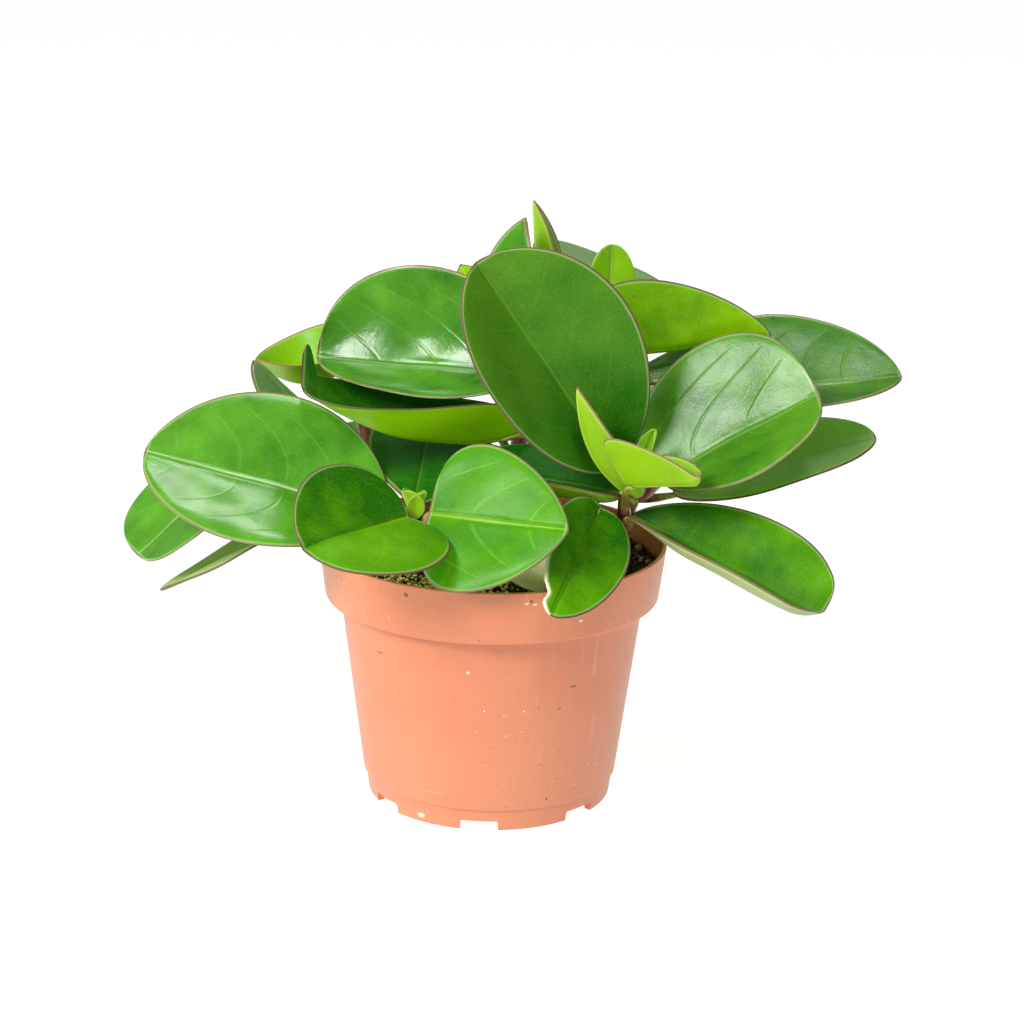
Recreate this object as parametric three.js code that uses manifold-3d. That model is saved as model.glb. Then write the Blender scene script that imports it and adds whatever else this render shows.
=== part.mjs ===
// A potted peperomia in a 12 cm nursery pot. Millimetres, +Z up.
// The origin is the middle of the pot's underside, and the plant's front faces -Y.
import * as THREE from "three";
import { mergeVertices } from "three/addons/utils/BufferGeometryUtils.js";
import Module from "manifold-3d";

const wasm = await Module();
wasm.setup();

// Driving dimensions
const gap = 0.3; // air between two pieces that touch
const rimRadius = 60;
const potHeight = 90.4;
const bandHeight = 18.4;
const bandBottomRadius = 57.7;
const shoulderRadius = 52.5;
const footLineHeight = 8;
const footLineRadius = 44.3;
const footRadius = 42.5;
const wall = 1.4;
const floorClearance = 4;
const floorThickness = 1.6;
const padRadius = 12;
const notchCount = 7;
const notchWidth = 13;
const notchHeight = 3.5;
const notchAngle = -94.3; // degrees from +X to the notch nearest the front
const drainRadius = 4;
const drainCircle = 30;
const soilTop = 82;
const soilDome = 1.5;
const rootDepth = 20;
const bladeThickness = 1.6;
const stalkRadius = 1.7;
const stalkSag = 0.08; // how far a stalk sags, as a share of its length
const thinnestHalf = 0.6; // half of a blade's width at its very ends
const creaseShare = 0.6; // how near the crease a blade's thickness may bring its sides

// Facets
const potSides = 56;
const stemSides = 7;
const stalkSides = 6;
const stemSteps = 8;
const stalkSteps = 5;
const bladeRows = 8;
const bladeColumns = 4;

const colours = {
  pot: 0xc9744f,
  soil: 0x3a2b20,
  stem: 0x7d4a3a,
  leaf: 0x3f8f24,
  youngLeaf: 0x9dc43a,
};

// Each stem: its radius, and the points of its axis from the hole in the soil up to the shoot tip
const stems = {
  stem_front: { radius: 2.6, axis: [[-17, -12], [-20, -20, 82], [-25, -34, 101], [-26.5, -43, 114]] },
  stem_left: { radius: 2.6, axis: [[-38, 0], [-42, -2, 82], [-50, -4, 97], [-60, -5, 104]] },
  stem_right_front: { radius: 3, axis: [[36, 8], [41, 6, 82], [45, -6, 101], [46, -24, 118]] },
  stem_right_back: { radius: 3, axis: [[28, 30], [32, 34, 82], [40, 41, 120], [40, 36, 166]] },
  stem_centre: { radius: 3, axis: [[8, 6], [10, 8, 82], [14, 9, 115], [17, 8, 142]] },
  stem_left_back: { radius: 2.6, axis: [[-30, 24], [-34, 26, 82], [-42, 22, 110], [-46, 18, 128]] },
  stem_back: { radius: 3, axis: [[2, 30], [4, 34, 82], [10, 34, 125], [14, 30, 158]] },
};

// Small unopened leaves at the shoot tips, each one fused to its stem
const buds = {
  stem_front: {
    base: [-27, -41, 112], tip: [-28, -44, 122.5], face: [0.5, -0.7, 0.4], width: 10, fold: 42,
  },
  stem_right_front: {
    base: [46.5, -24, 116], tip: [53, -29, 138], face: [-0.5, -0.6, 0.2], width: 9, fold: 40,
  },
  stem_right_back: {
    base: [40, 36, 163], tip: [40, 38, 187], face: [0, -1, 0.2], width: 18, fold: 15,
  },
};

// Each leaf: the stem it grows from and the height where its stalk leaves it, the blade's base and tip,
// the way its upper side faces, its width, and how it bends.
// arch lifts the middle of the midrib.
// fold and curl turn the two halves up in degrees, and a fold of two values goes from base to tip.
// skew makes the right half wider than the left, seen from the base towards the tip.
// lobes are how far the left and the right half reach back past the base.
// ends says how pointed the base and the tip are; four values are the left half's and the right half's.
const leaves = {
  leaf_front_left: {
    stem: "stem_front", height: 109, base: [-27, -50, 112.5], tip: [-59, -82, 111],
    face: [0.45, -0.35, 0.83], width: 49, arch: 1, fold: 14, lobes: [12, 3],
  },
  leaf_front_middle: {
    stem: "stem_front", height: 104, base: [-20, -47, 113], tip: [24, -64.5, 113.5],
    face: [0, -0.84, 0.54], width: 51, fold: 3, ends: [0.46, 0.58],
  },
  leaf_front_upper: {
    stem: "stem_front", height: 102, base: [-26, -36, 112.5], tip: [-22, 25, 127],
    face: [0, -0.2, 0.98], width: 40, fold: 4, skew: 0.14, ends: [0.7, 0.5],
  },
  leaf_left: {
    stem: "stem_front", height: 93, base: [-35, -26, 106], tip: [-115.5, -26, 127],
    face: [-0.1, -0.7, 0.7], width: 61, fold: 22, ends: [0.64, 0.5, 0.68, 0.66],
  },
  leaf_left_low: {
    stem: "stem_left", height: 99, base: [-91, 2, 112.5], tip: [-121, -12, 86],
    face: [-0.6, -0.27, 0.75], width: 62, fold: 8, ends: [0.5, 0.4],
  },
  leaf_left_lowest: {
    stem: "stem_left", height: 98, base: [-66, -18, 101], tip: [-112, -22, 77],
    face: [-0.3, 0.06, 1], width: 28, fold: 6, ends: [0.5, 0.7],
  },
  leaf_centre: {
    stem: "stem_right_front", height: 106, base: [41, -21, 122.5], tip: [-7, -26, 192],
    face: [0.4, -0.91, 0.1], width: 63, fold: 26, curl: 8, skew: 0.06, ends: [0.62, 0.5],
  },
  leaf_right_front: {
    stem: "stem_right_front", height: 108, base: [56, -18, 118.5], tip: [107, -22, 149],
    face: [0, -0.5, 0.87], width: 70, fold: 26, ends: [0.52, 0.38], lobes: [9, 0],
  },
  leaf_right_low: {
    stem: "stem_right_front", height: 96, base: [49, -27, 106], tip: [107, -60, 85],
    face: [0, -0.4, 0.92], width: 43, fold: 35, ends: [0.7, 0.4],
  },
  leaf_under_centre: {
    stem: "stem_right_front", height: 97, base: [38, -18, 113], tip: [-6, -20, 122],
    face: [0, -0.3, 0.95], width: 36, fold: 8,
  },
  leaf_over_rim: {
    stem: "stem_right_front", height: 93, base: [36, -32, 112], tip: [19.5, -70, 88],
    face: [0.4, -0.75, 0.55], width: 29, fold: 12, skew: -0.12, ends: [0.5, 0.54],
  },
  leaf_tip_upright: {
    stem: "stem_right_front", height: 110, base: [41, -32, 120], tip: [26.5, -40, 154.5],
    face: [0.85, 0.3, 0.4], width: 18, arch: -3, fold: 50, ends: [0.5, 0.9], young: true,
  },
  leaf_tip_right: {
    stem: "stem_right_front", height: 103, base: [49, -37, 118], tip: [67, -52, 126],
    face: [-0.35, 0.3, 0.9], width: 26, fold: 60, ends: [0.3, 0.9], young: true,
  },
  leaf_right_far: {
    stem: "stem_right_back", height: 118, base: [66, 14, 137], tip: [140, 14, 146],
    face: [0, -0.42, 0.91], width: 61, fold: 25, ends: [0.42, 0.62], skew: 0.08,
  },
  leaf_right_under: {
    stem: "stem_right_back", height: 100, base: [62, 6, 106.5], tip: [131, 6, 127.5],
    face: [0, -0.3, 0.95], width: 40, fold: 12,
  },
  leaf_right_middle: {
    stem: "stem_right_back", height: 126, base: [48, 24, 143.5], tip: [72, 2, 155.5],
    face: [0, -0.35, 0.93], width: 28, fold: 6,
  },
  leaf_upper_right: {
    stem: "stem_centre", height: 136, base: [29, 9, 152], tip: [93, 5, 163],
    face: [0, 0.55, 0.83], width: 53, fold: 46, ends: [0.36, 0.75],
  },
  leaf_upper_left: {
    stem: "stem_centre", height: 132, base: [12, 12, 147], tip: [-61, 8, 152],
    face: [0, -0.6, 0.8], width: 64, arch: -2, fold: 18, curl: 26, skew: 0.12, ends: [0.5, 0.46],
  },
  leaf_upper_left_under: {
    stem: "stem_centre", height: 116, base: [12, -3, 130], tip: [-65, -12, 148],
    face: [0, -0.1, 0.99], width: 48, arch: -10.5, fold: [72, 12], skew: -0.24, ends: [0.5, 0.34],
  },
  leaf_small_left: {
    stem: "stem_left_back", height: 122, base: [-49, 34, 144.5], tip: [-84, 27, 146],
    face: [0, -0.22, 0.975], width: 42, fold: 44, ends: [0.4, 0.8], arch: -8.5, young: true,
  },
  leaf_small_left_under: {
    stem: "stem_left_back", height: 112, base: [-54, 16, 116], tip: [-83.5, 12, 149],
    face: [0.7, -0.3, 0.65], width: 24, fold: 6, skew: -0.6,
  },
  leaf_top_left: {
    stem: "stem_back", height: 150, base: [12, 21, 160], tip: [9, 13, 200],
    face: [-0.75, -0.6, 0.3], width: 34, fold: 30, ends: [0.5, 0.85],
  },
  leaf_top: {
    stem: "stem_back", height: 154, base: [15, 26, 162], tip: [12, 25, 204],
    face: [0.97, -0.2, 0.15], width: 20, fold: 60, ends: [0.5, 0.85], young: true,
  },
  leaf_top_right: {
    stem: "stem_right_back", height: 152, base: [33, 47, 168.5], tip: [42, 92, 171],
    face: [0.33, 0, 0.94], width: 54, fold: 6,
  },
  leaf_top_back_left: {
    stem: "stem_back", height: 140, base: [4, 34, 150], tip: [-13, 32, 180],
    face: [-0.6, 0.3, 0.7], width: 30, fold: 15, ends: [0.5, 0.9],
  },
  leaf_behind_rim: {
    stem: "stem_front", height: 94, base: [-6, -42, 104], tip: [20, -57, 95],
    face: [0, 0.85, 0.5], width: 22, young: true,
  },
  leaf_back_1: {
    stem: "stem_back", height: 130, base: [12, 46, 140], tip: [14, 96, 124],
    face: [0, 0.4, 0.9], width: 52, fold: 12,
  },
  leaf_back_2: {
    stem: "stem_right_back", height: 130, base: [46, 40, 136], tip: [80, 80, 124],
    face: [0.3, 0.4, 0.85], width: 50, fold: 12,
  },
  leaf_back_3: {
    stem: "stem_left_back", height: 112, base: [-44, 34, 118], tip: [-74, 70, 106],
    face: [-0.3, 0.4, 0.85], width: 48, fold: 12,
  },
  leaf_back_4: {
    stem: "stem_left_back", height: 98, base: [-48, 28, 106], tip: [-92, 34, 98],
    face: [-0.2, 0.1, 0.95], width: 44, fold: 12,
  },
  leaf_back_5: {
    stem: "stem_back", height: 108, base: [2, 46, 116], tip: [-22, 90, 98],
    face: [-0.2, 0.5, 0.85], width: 48, fold: 12,
  },
  leaf_back_6: {
    stem: "stem_right_back", height: 106, base: [46, 40, 112], tip: [92, 62, 100],
    face: [0.3, 0.3, 0.9], width: 46, fold: 12,
  },
  leaf_back_7: {
    stem: "stem_back", height: 96, base: [14, 46, 108], tip: [20, 90, 92],
    face: [0.1, 0.4, 0.9], width: 48, fold: 10,
  },
};

// A mesh's own geometry with only its positions, its shared corners merged
function bare(geometry) {
  geometry.deleteAttribute("normal");
  geometry.deleteAttribute("uv");
  return mergeVertices(geometry, 1e-4);
}

function solid(geometry) {
  const merged = bare(geometry);
  const vertProperties = new Float32Array(merged.attributes.position.array);
  const triVerts = new Uint32Array(merged.index.array);
  return new wasm.Manifold(new wasm.Mesh({ numProp: 3, vertProperties, triVerts }));
}

function geometryOf(body) {
  const mesh = body.getMesh();
  const geometry = new THREE.BufferGeometry();
  geometry.setAttribute("position", new THREE.BufferAttribute(mesh.vertProperties, 3));
  geometry.setIndex(new THREE.BufferAttribute(mesh.triVerts, 1));
  return geometry;
}

function named(name, body, colour, roughness) {
  const material = new THREE.MeshStandardMaterial({ color: colour, roughness });
  const mesh = new THREE.Mesh(geometryOf(body), material);
  mesh.name = name;
  return mesh;
}

function lathe(profile, sides) {
  const points = profile.map(([r, z]) => new THREE.Vector2(r, z));
  const geometry = new THREE.LatheGeometry(points, sides);
  geometry.rotateX(Math.PI / 2);
  return solid(geometry);
}

// Pot
function innerRadius(z) {
  const bandBottom = potHeight - bandHeight;
  if (z > bandBottom) {
    const up = (z - bandBottom) / bandHeight;
    return THREE.MathUtils.lerp(bandBottomRadius, rimRadius, up) - wall;
  }
  const up = (z - footLineHeight) / (bandBottom - footLineHeight);
  return THREE.MathUtils.lerp(footLineRadius, shoulderRadius, up) - wall;
}

function makePot() {
  const bandBottom = potHeight - bandHeight;
  const floorTop = floorClearance + floorThickness;
  const body = lathe([
    [0, 0],
    [padRadius, 0],
    [padRadius + 1.5, floorClearance],
    [footRadius - 3, floorClearance],
    [footRadius - 2.5, 0],
    [footRadius, 0],
    [footRadius + 0.9, footLineHeight - 0.6],
    [footLineRadius, footLineHeight],
    [shoulderRadius, bandBottom - 1],
    [bandBottomRadius, bandBottom],
    [rimRadius, potHeight - 0.5],
    [rimRadius - 0.4, potHeight],
    [rimRadius - wall, potHeight],
    [innerRadius(bandBottom + 1), bandBottom + 1],
    [innerRadius(bandBottom), bandBottom - 1],
    [innerRadius(floorTop), floorTop],
    [0, floorTop],
  ], potSides);
  const cuts = [];
  for (let i = 0; i < notchCount; i += 1) {
    const angle = THREE.MathUtils.degToRad(notchAngle + (360 / notchCount) * i);
    const notch = new THREE.BoxGeometry(10, notchWidth, notchHeight * 2);
    notch.translate(footRadius, 0, 0);
    notch.rotateZ(angle);
    cuts.push(solid(notch));
    const drain = new THREE.CylinderGeometry(drainRadius, drainRadius, floorTop, 10);
    drain.rotateX(Math.PI / 2);
    drain.translate(drainCircle, 0, floorTop);
    drain.rotateZ(angle);
    cuts.push(solid(drain));
  }
  return cuts.reduce((pot, cut) => pot.subtract(cut), body);
}

// Stems
function tube(points, radius, sides, steps) {
  const path = new THREE.CatmullRomCurve3(points);
  const circle = new THREE.EllipseCurve(0, 0, radius, radius);
  const section = new THREE.Shape(circle.getPoints(sides).slice(0, -1));
  const options = { steps, extrudePath: path, bevelEnabled: false };
  return solid(new THREE.ExtrudeGeometry(section, options));
}

function stemAxis(stem) {
  return stem.axis.map(([x, y, z = soilTop - rootDepth]) => new THREE.Vector3(x, y, z));
}

function stemTube(stem, extra) {
  const points = stemAxis(stem);
  points[0].z -= extra;
  return tube(points, stem.radius + extra, stemSides, stemSteps);
}

function pointOnStem(stem, height) {
  const path = new THREE.CatmullRomCurve3(stemAxis(stem));
  const samples = path.getPoints(60);
  const off = (p) => Math.abs(p.z - height);
  return samples.reduce((best, p) => (off(p) < off(best) ? p : best));
}

// Soil
function makeSoil() {
  const floorTop = floorClearance + floorThickness;
  const bandBottom = potHeight - bandHeight;
  const body = lathe([
    [0, floorTop + gap],
    [innerRadius(floorTop) - gap, floorTop + gap],
    [innerRadius(bandBottom) - gap, bandBottom - 0.6],
    [innerRadius(bandBottom + 1) - gap, bandBottom + 1.4],
    [innerRadius(soilTop) - gap, soilTop],
    [innerRadius(soilTop) / 2, soilTop + soilDome],
    [0, soilTop + soilDome],
  ], potSides);
  return Object.values(stems).reduce((soil, stem) => soil.subtract(stemTube(stem, gap)), body);
}

// Leaves
function vector(values) {
  return new THREE.Vector3(...values);
}

// A blade's own axes: along it, out of its upper side, and across it
function bladeAxes(leaf) {
  const along = vector(leaf.tip).sub(vector(leaf.base));
  const length = along.length();
  along.normalize();
  const up = vector(leaf.face);
  up.addScaledVector(along, -up.dot(along)).normalize();
  return { length, along, up, side: along.clone().cross(up) };
}

// The middle surface of a blade: the point at t from base to tip and s from -1 to 1 across
function bladePoint(leaf, t, s) {
  const { length, along, up, side } = bladeAxes(leaf);
  const [leftA, leftB, rightA = leftA, rightB = leftB] = leaf.ends ?? [0.5, 0.52];
  const [a, b] = s > 0 ? [rightA, rightB] : [leftA, leftB];
  const full = (a / (a + b)) ** a * (b / (a + b)) ** b;
  const wider = 1 + Math.sign(s) * (leaf.skew ?? 0);
  const half = Math.max((leaf.width / 2) * wider * ((t ** a * (1 - t) ** b) / full), thinnestHalf);
  const [foldAtBase, foldAtTip] = [leaf.fold ?? 0].flat();
  const fold = THREE.MathUtils.degToRad(THREE.MathUtils.lerp(foldAtBase, foldAtTip ?? foldAtBase, t));
  const curl = THREE.MathUtils.degToRad(leaf.curl ?? 0) || 1e-6;
  const angle = fold + curl * Math.abs(s);
  const out = (half * (Math.sin(angle) - Math.sin(fold))) / curl;
  const rise = (half * (Math.cos(fold) - Math.cos(angle))) / curl;
  const [left, right] = leaf.lobes ?? [0, 0];
  const back = (s < 0 ? left : right) * Math.abs(s) * 2.6 * Math.sqrt(t) * (1 - t) ** 2;
  return vector(leaf.base)
    .addScaledVector(along, length * t - back)
    .addScaledVector(up, (leaf.arch ?? 0) * 4 * t * (1 - t) + rise)
    .addScaledVector(side, Math.sign(s) * out);
}

// Out of the upper side, square to the blade's axis
function bladeNormal(leaf, t, s) {
  const across = bladePoint(leaf, t, Math.min(s + 0.3, 1)).sub(bladePoint(leaf, t, Math.max(s - 0.3, -1)));
  return across.cross(bladeAxes(leaf).along).normalize();
}

// A point off the middle surface; a folded blade's narrow ends keep it on its own side of the crease
function surfacePoint(leaf, t, s, offset) {
  const { side } = bladeAxes(leaf);
  const point = bladePoint(leaf, t, s);
  const step = bladeNormal(leaf, t, s).multiplyScalar(offset);
  const reach = Math.abs(point.clone().sub(bladePoint(leaf, t, 0)).dot(side)) * creaseShare;
  const across = step.dot(side);
  step.addScaledVector(side, THREE.MathUtils.clamp(across, -reach, reach) - across);
  return point.add(step);
}

function makeBlade(leaf) {
  const corners = [];
  const index = [];
  const wide = bladeColumns + 1;
  const layer = (bladeRows + 1) * wide;
  for (const offset of [bladeThickness / 2, -bladeThickness / 2]) {
    for (let i = 0; i <= bladeRows; i += 1) {
      const t = (1 - Math.cos((Math.PI * i) / bladeRows)) / 2;
      for (let j = 0; j <= bladeColumns; j += 1) {
        const s = (2 * j) / bladeColumns - 1;
        const point = surfacePoint(leaf, t, s, offset);
        corners.push(point.x, point.y, point.z);
      }
    }
  }
  const quad = (a, b, c, d) => index.push(a, b, c, a, c, d);
  for (let i = 0; i < bladeRows; i += 1) {
    for (let j = 0; j < bladeColumns; j += 1) {
      const a = i * wide + j;
      quad(a, a + 1, a + wide + 1, a + wide);
      index.push(layer + a, layer + a + wide + 1, layer + a + 1);
      index.push(layer + a, layer + a + wide, layer + a + wide + 1);
    }
    const left = i * wide;
    const right = left + bladeColumns;
    quad(left, left + wide, layer + left + wide, layer + left);
    quad(right, layer + right, layer + right + wide, right + wide);
  }
  for (let j = 0; j < bladeColumns; j += 1) {
    const last = bladeRows * wide + j;
    quad(j, layer + j, layer + j + 1, j + 1);
    quad(last, last + 1, layer + last + 1, layer + last);
  }
  const geometry = new THREE.BufferGeometry();
  geometry.setAttribute("position", new THREE.Float32BufferAttribute(corners, 3));
  geometry.setIndex(index);
  return solid(geometry);
}

function makeStalk(leaf) {
  const stem = stems[leaf.stem];
  const start = pointOnStem(stem, leaf.height);
  const under = (t, depth) => bladePoint(leaf, t, 0).addScaledVector(bladeNormal(leaf, t, 0), -depth);
  const neck = under(0, 0.8);
  const end = under(0.16, 1);
  const middle = start.clone().lerp(neck, 0.5);
  middle.z -= start.distanceTo(neck) * stalkSag;
  return tube([start, middle, neck, end], stalkRadius, stalkSides, stalkSteps);
}

// A blade and its stalk, cut to stand just clear of the stem; what the cut leaves past the stem goes
function makeLeaf(leaf) {
  const whole = makeBlade(leaf).add(makeStalk(leaf));
  const pieces = whole.subtract(stemTube(stems[leaf.stem], gap)).decompose();
  return pieces.reduce((largest, piece) => (piece.volume() > largest.volume() ? piece : largest));
}

const plant = new THREE.Group();
plant.add(named("pot", makePot(), colours.pot, 0.5));
plant.add(named("soil", makeSoil(), colours.soil, 1));
for (const [name, stem] of Object.entries(stems)) {
  const stalk = stemTube(stem, 0);
  const whole = buds[name] ? stalk.add(makeBlade(buds[name])) : stalk;
  plant.add(named(name, whole, colours.stem, 0.5));
}
for (const [name, leaf] of Object.entries(leaves)) {
  plant.add(named(name, makeLeaf(leaf), leaf.young ? colours.youngLeaf : colours.leaf, 0.3));
}

export default plant;
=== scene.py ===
"""A potted peperomia in a 12 cm terracotta-orange nursery pot: fine leaves, stems, pot and soil.

Lengths in the tables are millimetres, and Blender's objects are metres.
The origin is the middle of the pot's underside. The plant's front faces -Y.
"""
import math

import bmesh
import bpy
import numpy as np
from mathutils import Matrix, Vector, noise


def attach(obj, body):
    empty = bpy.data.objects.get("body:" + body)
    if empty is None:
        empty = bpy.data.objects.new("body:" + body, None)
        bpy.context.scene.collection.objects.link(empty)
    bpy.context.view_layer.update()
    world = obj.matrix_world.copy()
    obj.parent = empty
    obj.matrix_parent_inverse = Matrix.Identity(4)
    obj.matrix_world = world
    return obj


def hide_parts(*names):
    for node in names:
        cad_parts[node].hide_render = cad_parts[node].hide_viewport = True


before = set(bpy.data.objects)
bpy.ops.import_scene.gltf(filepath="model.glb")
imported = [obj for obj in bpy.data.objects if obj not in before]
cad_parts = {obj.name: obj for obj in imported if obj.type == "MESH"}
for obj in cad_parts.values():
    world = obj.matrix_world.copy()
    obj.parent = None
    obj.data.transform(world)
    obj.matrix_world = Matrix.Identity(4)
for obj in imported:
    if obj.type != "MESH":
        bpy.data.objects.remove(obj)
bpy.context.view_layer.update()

MM = 0.001

# Pot
RIM_RADIUS = 60
POT_HEIGHT = 90.4
BAND_HEIGHT = 18.4
BAND_BOTTOM_RADIUS = 57.7
SHOULDER_RADIUS = 52.5
FOOT_LINE_HEIGHT = 8
FOOT_LINE_RADIUS = 44.3
FOOT_RADIUS = 42.5
WALL = 1.4
FLOOR_CLEARANCE = 4
FLOOR_THICKNESS = 1.6
PAD_RADIUS = 12
NOTCH_COUNT = 7
NOTCH_WIDTH = 13
NOTCH_HEIGHT = 3.5
NOTCH_CORNER = 1
NOTCH_ANGLE = -94.3
DRAIN_RADIUS = 4
DRAIN_CIRCLE = 30
POT_SIDES = 168
DRAIN_SIDES = 24
SHARP_DEGREES = 38

# Colours of the marks on the pot
SOOT = (84, 66, 50)
MUD = (128, 116, 84)
CHALK = (246, 226, 214)
PALE = (236, 180, 154)
# Dirt and scuffs on the pot: angle, height, half width, half height, colour
POT_MARKS = [
    (-136.6, 60.7, 2.6, 0.7, MUD), (-56.5, 52.3, 1.5, 0.6, SOOT), (-62, 44.9, 1.5, 0.5, MUD),
    (-118, 87, 1.1, 1.2, SOOT), (-79, 86.6, 1.2, 0.5, CHALK), (-77.6, 87.4, 0.9, 0.7, SOOT),
    (-76.4, 86.2, 0.9, 0.5, CHALK), (-122.4, 2.5, 2, 1.5, CHALK), (-60, 78.4, 1.5, 0.5, CHALK),
    (-98.4, 59.7, 0.7, 0.7, CHALK), (-116, 13, 6, 0.22, PALE), (-50, 14, 4, 0.2, PALE),
    (-64, 11, 0.6, 0.9, SOOT), (112, 40, 2, 0.6, MUD), (30, 64, 1.4, 0.6, SOOT),
    (170, 24, 2.2, 0.8, CHALK),
]

# Soil
SOIL_TOP = 82
SOIL_DOME = 1.5
ROOT_BALL_BOTTOM = 6
SOIL_SIDES = 150
SOIL_RINGS = 60
LUMP_HEIGHT = 1.1
PEAT_CRUMBS = 3900
MOSS_CRUMBS = 1300
MOSS_MIDDLE = (-27, -41)
MOSS_SPREAD = 17
MOSS_FLATNESS = 0.6

# Leaves
HALF_THICKNESS = 0.62
THINNEST_HALF = 0.5
ROUND_ENDS = (0.5, 0.52)
FOLD_SOFTNESS = 0.1
LEAST_CURL = 1e-4
LOBE_REACH = 2.6
HOOK_START = 0.88
LIFT_START = 0.93
GROOVE_DEPTH = 0.2
GROOVE_HALF = 0.8
RIDGE_HEIGHT = 0.75
RIDGE_HALF = 1.1
VEIN_GAP = 18
VEIN_BEND = 0.045
SWELL = 0.2
MARGIN_WAVE = 0.5
MARGIN_ROLL = 0.45
SCAR_DEPTH = 0.1
BLADE_ROWS = 64
BLADE_COLUMNS = 40
MARGIN_COLUMNS = np.array([0.93, 0.975, 0.993])
NORMAL_STEP = 0.12
# Young leaves are thinner and smoother by these factors
YOUNG_THICKNESS = 0.8
YOUNG_RELIEF = 0.3
YOUNG_RIB = 0.5
BUD_SEED = 50

# Stalks and stems
STALK_RADIUS = 1.6
STALK_SIDES = 14
STALK_STEPS = 22
STALK_END = 0.12
STALK_SAG = 0.08
STEM_SIDES = 20
STEM_STEPS = 90
AXIS_STEPS = 120
STEM_RING = 0.35

# Camera: its place in metres, its angles in degrees, and its lens
CAMERA_PLACE = (0, -0.813, 0.341)
CAMERA_PITCH = 16.5
CAMERA_ROLL = 1.1
CAMERA_YAW = 0.45
SENSOR_WIDTH = 36
FOCAL_LENGTH = 2465 / 1024 * SENSOR_WIDTH

# Soft boxes: place and target in metres, width and height, power
LIGHTS = {
    "key": ((-0.65, -0.845, 0.87), (0, 0, 0.12), (0.45, 0.42), 12.5),
    "side": ((-1.05, -0.3, 0.5), (0, 0, 0.08), (0.5, 0.5), 5),
    "front": ((0.11, -0.7, 1.12), (0, 0, 0.12), (0.16, 0.5), 4),
    "top": ((0.13, 0.4, 1.15), (0, 0, 0.12), (0.24, 0.2), 2),
    "fill": ((0.95, -0.5, 0.55), (0, 0, 0.1), (0.8, 0.8), 0.1),
}
FLOOR_HALF = 15000
FLOOR_GREY = 0.3
FLOOR_GLOW = 0.92
# The room's glow, low down and overhead
ROOM_GLOW = (0.14, 0.26)

# Leaf colours: the margin of pale, dark and young leaves, the specks and a painted highlight just inside
# the margin, and the torn edge
DUSKY = (128, 102, 78)
PURPLE = (104, 70, 58)
BROWN = (138, 98, 66)
CREAM = (196, 222, 150)
SCAR = (226, 222, 196)

# Each side of a leaf: dark and light green, midrib, side veins with their strength, roughness, and where
# they differ, margin, strength of the specks, brown freckles, specular level and fine bumps
GRASS = dict(dark=(46, 112, 12), light=(106, 178, 46), rib=(190, 222, 150), vein=(0.16, (130, 190, 80)),
             margin=DUSKY, speck=0.25)
TONES = {
    "mid": dict(GRASS, gloss=0.19, specular=0.28),
    "glossy": dict(GRASS, gloss=0.15, specular=0.6),
    "pebbled": dict(
        dark=(44, 108, 4), light=(104, 168, 30), rib=(150, 196, 90), vein=(0.3, (96, 160, 44)),
        gloss=0.3, margin=DUSKY, speck=0.25, specular=0.42, pebble=2.6),
    "fresh": dict(
        dark=(62, 135, 2), light=(108, 182, 8), rib=(166, 216, 40), vein=(0.2, (140, 204, 60)),
        gloss=0.29, margin=DUSKY, speck=0.3, specular=0.13),
    "sap": dict(
        dark=(34, 102, 0), light=(106, 176, 0), rib=(156, 192, 24), vein=(0.08, (118, 178, 20)),
        gloss=0.34, speck=0.2, specular=0.04),
    "deep": dict(
        dark=(14, 98, 0), light=(75, 128, 20), rib=(120, 168, 50), vein=(0.16, (92, 146, 40)),
        gloss=0.36, speck=0.12, specular=0.1),
    # grey: partly their own dull green and partly a painted sheen, the greyish film of light that these
    # leaves reflect
    "grey": dict(
        dark=(90, 130, 66), light=(138, 176, 108), rib=(156, 184, 126), vein=(0.15, (146, 178, 120)),
        gloss=0.3, speck=0.3, specular=0.3),
    "young": dict(
        dark=(100, 164, 0), light=(142, 196, 10), rib=(186, 214, 80), vein=(0.1, (180, 212, 70)),
        gloss=0.26, margin=BROWN, specular=0.3),
    # The undersides are partly their own paler green and partly painted light, brighter for the light that
    # shines through the thin blades; the pale one is almost white with it
    "under": dict(
        dark=(160, 224, 0), light=(190, 240, 10), rib=(200, 236, 70), vein=(0.12, (120, 170, 10)),
        gloss=0.42, freckle=0.7, specular=0.1),
    "under_sap": dict(
        dark=(66, 128, 0), light=(156, 210, 0), rib=(150, 200, 20), vein=(0.1, (100, 160, 0)),
        gloss=0.4, freckle=0.8, specular=0.08),
    "under_young": dict(
        dark=(120, 172, 4), light=(156, 198, 18), rib=(196, 216, 100), vein=(0.1, (190, 210, 80)),
        gloss=0.38, margin=BROWN, specular=0.2),
    "under_pale": dict(
        dark=(222, 232, 160), light=(236, 242, 190), rib=(224, 230, 170), vein=(0.1, (200, 212, 130)),
        gloss=0.45, margin=BROWN),
    "under_grey": dict(
        dark=(138, 154, 96), light=(170, 184, 130), rib=(192, 194, 150), vein=(0.15, (150, 160, 112)),
        gloss=0.42, speck=0.2),
}

# Stems: radius, and points along the middle
STEMS = {
    "front": (2.6, [(-17, -12, 62), (-20, -20, 82), (-25, -34, 101), (-26.5, -43, 114)]),
    "left": (2.6, [(-38, 0, 62), (-42, -2, 82), (-50, -4, 97), (-60, -5, 104)]),
    "right_front": (3, [(36, 8, 62), (41, 6, 82), (45, -6, 101), (46, -24, 118)]),
    "right_back": (3, [(28, 30, 62), (32, 34, 82), (40, 41, 120), (40, 36, 166)]),
    "centre": (3, [(8, 6, 62), (10, 8, 82), (14, 9, 115), (17, 8, 142)]),
    "left_back": (2.6, [(-30, 24, 62), (-34, 26, 82), (-42, 22, 110), (-46, 18, 128)]),
    "back": (3, [(2, 30, 62), (4, 34, 82), (10, 34, 125), (14, 30, 158)]),
}

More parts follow.
